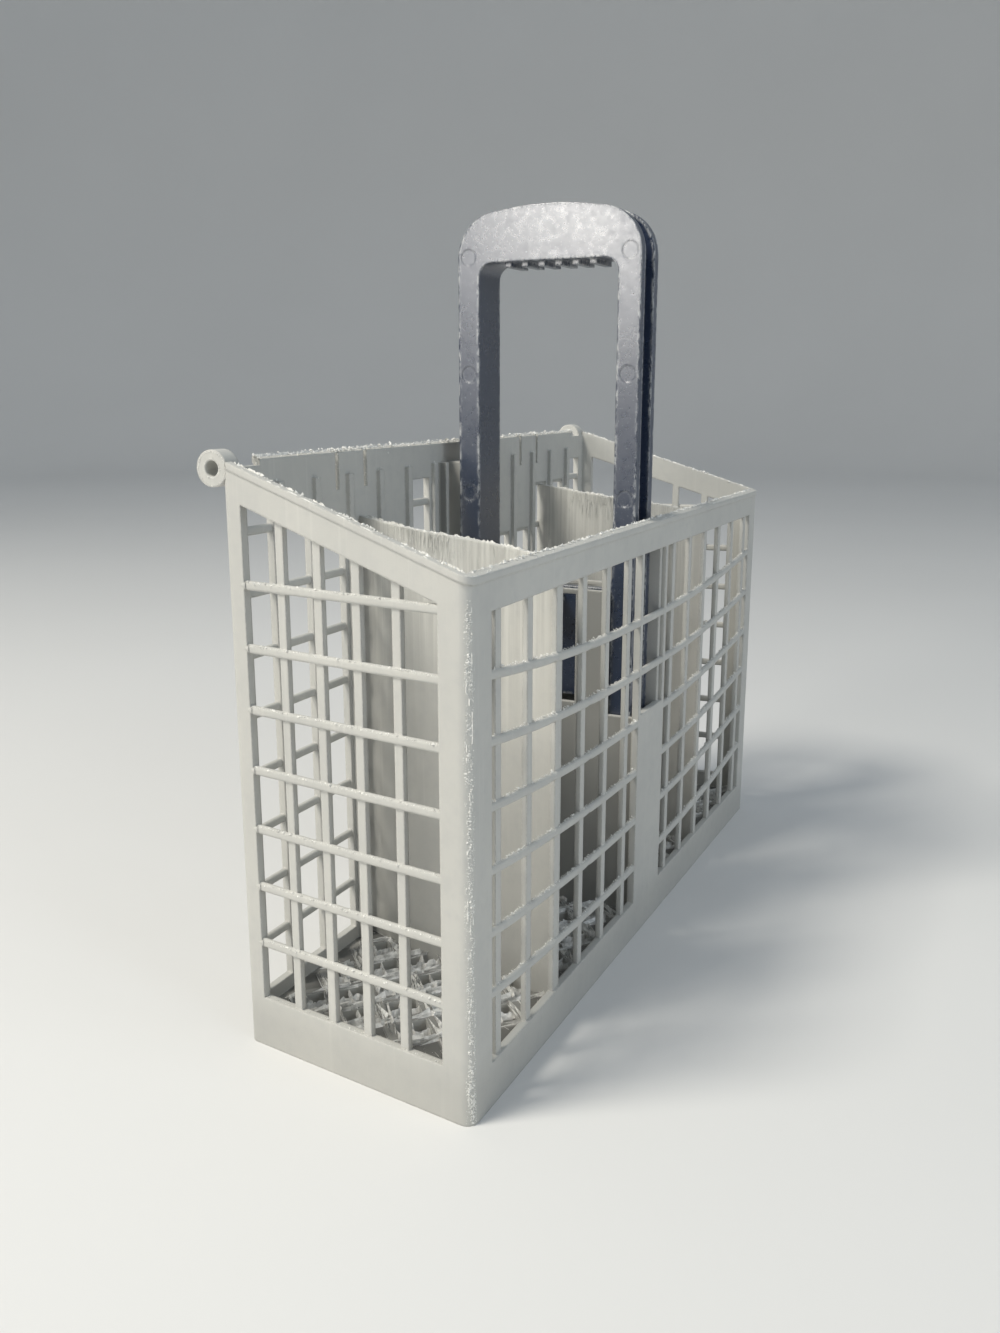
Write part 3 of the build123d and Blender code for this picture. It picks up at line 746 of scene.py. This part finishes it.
def handle_outline(outer, top):
    """The outer edge of the handle's face, as places across and up, from leg to leg."""
    bend = top - HANDLE_CORNER
    outline = [(-outer, SCUFF_FOOT), (-outer, bend)]
    for i in range(1, 8):
        angle = math.radians(90 * i / 8)
        across = HANDLE_CORNER * (1 - math.cos(angle))
        outline.append((-outer + across, bend + HANDLE_CORNER * math.sin(angle)))
    for i in range(9):
        across = (i / 4 - 1) * (outer - HANDLE_CORNER)
        outline.append((across, top + HANDLE_CROWN * (1 - (i / 4 - 1) ** 2)))
    return outline + [(-y, z) for y, z in outline[8:0:-1]] + [(outer, SCUFF_FOOT)]


def handle_opening(inner, grip_bottom):
    """The edge of the opening under the grip, as places across and up, from leg to leg."""
    opening = [(-inner, SCUFF_FOOT), (-inner, grip_bottom - GRIP_INNER_CORNER)]
    for i in range(1, 5):
        angle = math.radians(90 * i / 4)
        drop = GRIP_INNER_CORNER * (1 - math.sin(angle))
        opening.append((-inner + GRIP_INNER_CORNER * (1 - math.cos(angle)), grip_bottom - drop))
    return opening + [(-y, z) for y, z in opening[::-1]]


def handle_scuffs(material):
    """Torn specks along the edges of the handle's two faces, from the pocket's middle up."""
    flash = Flash(41)
    low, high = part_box("handle")
    top = high.z - HANDLE_CROWN
    bend = top - HANDLE_CORNER
    outer = (high.y - low.y) / 2
    centre = (high.y + low.y) / 2
    outline = handle_outline(outer, top)
    opening = handle_opening(outer - LEG_WIDTH, high.z - GRIP_HEIGHT)
    for x in (-HANDLE_DEPTH / 2, HANDLE_DEPTH / 2):
        for path, pull in ((outline, -0.38), (opening, 0.2)):
            edge = []
            for y, z in path:
                out = Vector((0, y, max(0, z - bend))).normalized() * pull * MM
                edge.append(Vector((x, centre + y, z)) + out)
            for step, large, spread in ((0.5 * MM, 0.24, 0.1 * MM), (0.7 * MM, 0.18, 0.28 * MM)):
                for spot, _ in flash.spots(edge, step):
                    size = (0.05 + (large - 0.05) * flash.chance.random() ** 3) * MM
                    shake = [flash.chance.uniform(-spread, spread) for _ in range(2)]
                    spot = spot + Vector((-math.copysign(0.6 * size, x), *shake))
                    spot.z = min(spot.z, high.z - 1.4 * size)
                    flash.crumb(spot, size)
    flash.piece("handle_scuffs", material, "handle")


def make_stage():
    """A pale round ground that curves up far away on every side."""
    profile = [(GROUND_FLAT, 0.0)]
    for i in range(1, 13):
        angle = math.radians(90 * i / 12)
        radius = GROUND_FLAT + GROUND_BEND * math.sin(angle)
        profile.append((radius, GROUND_BEND * (1 - math.cos(angle))))
    profile.append((GROUND_FLAT + GROUND_BEND, GROUND_RISE))
    vertices = [(0, 0, 0)]
    faces = []
    for radius, height in profile:
        for i in range(GROUND_TURNS):
            angle = 2 * math.pi * i / GROUND_TURNS
            vertices.append((radius * math.cos(angle), radius * math.sin(angle), height))
    for i in range(GROUND_TURNS):
        j = (i + 1) % GROUND_TURNS
        faces.append((0, 1 + i, 1 + j))
        for row in range(len(profile) - 1):
            a = 1 + row * GROUND_TURNS
            b = a + GROUND_TURNS
            faces.append((a + i, b + i, b + j, a + j))
    mesh = bpy.data.meshes.new("ground")
    mesh.from_pydata(vertices, [], faces)
    mesh.materials.append(ground_paper())
    for polygon in mesh.polygons:
        polygon.use_smooth = True
    ground = bpy.data.objects.new("ground", mesh)
    bpy.context.scene.collection.objects.link(ground)


def add_lamp(name, place, target, size, power, colour):
    data = bpy.data.lights.new(name, "AREA")
    data.shape = "DISK"
    data.size = size
    data.energy = power
    data.color = colour
    lamp = bpy.data.objects.new(name, data)
    lamp.location = place
    lamp.rotation_euler = (Vector(target) - Vector(place)).to_track_quat("-Z", "Y").to_euler()
    bpy.context.scene.collection.objects.link(lamp)


def light_scene():
    add_lamp("key", KEY_PLACE, KEY_TARGET, size=0.4, power=15.0, colour=WARM_LIGHT)
    add_lamp("window", WINDOW_PLACE, WINDOW_TARGET, size=0.30, power=3.7, colour=WINDOW_LIGHT)
    add_lamp("fill", FILL_PLACE, FILL_TARGET, size=1.0, power=5.6, colour=COOL_LIGHT)
    world = bpy.data.worlds.new("soft_sky")
    bpy.context.scene.world = world
    world.use_nodes = True
    background = world.node_tree.nodes["Background"]
    background.inputs["Color"].default_value = SKY
    background.inputs["Strength"].default_value = SKY_STRENGTH


def add_camera():
    data = bpy.data.cameras.new("camera")
    data.sensor_width = SENSOR
    data.lens = SENSOR * FOCAL_PIXELS / IMAGE_HEIGHT
    data.clip_start = CLIP_START
    camera = bpy.data.objects.new("camera", data)
    camera.location = CAMERA_PLACE
    camera.rotation_euler = CAMERA_TURN
    bpy.context.scene.collection.objects.link(camera)
    bpy.context.scene.camera = camera


def paint(node, material):
    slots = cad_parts[node].data.materials
    slots.clear()
    slots.append(material)


grey_plastic = basket_plastic()
paint("basket", grey_plastic)
paint("handle", handle_plastic())
pale_flash = flash_plastic()
rim_flash(pale_flash)
rail_flash(pale_flash)
rail_tips(grey_plastic)
corner_flash(pale_flash)
divider_fringe(pale_flash)
shards = shard_plastic()
floor_ribs(shards)
floor_shards(shards)
handle_scuffs(scuff_plastic())
make_stage()
light_scene()
add_camera()
bpy.context.scene.view_settings.view_transform = "Standard"
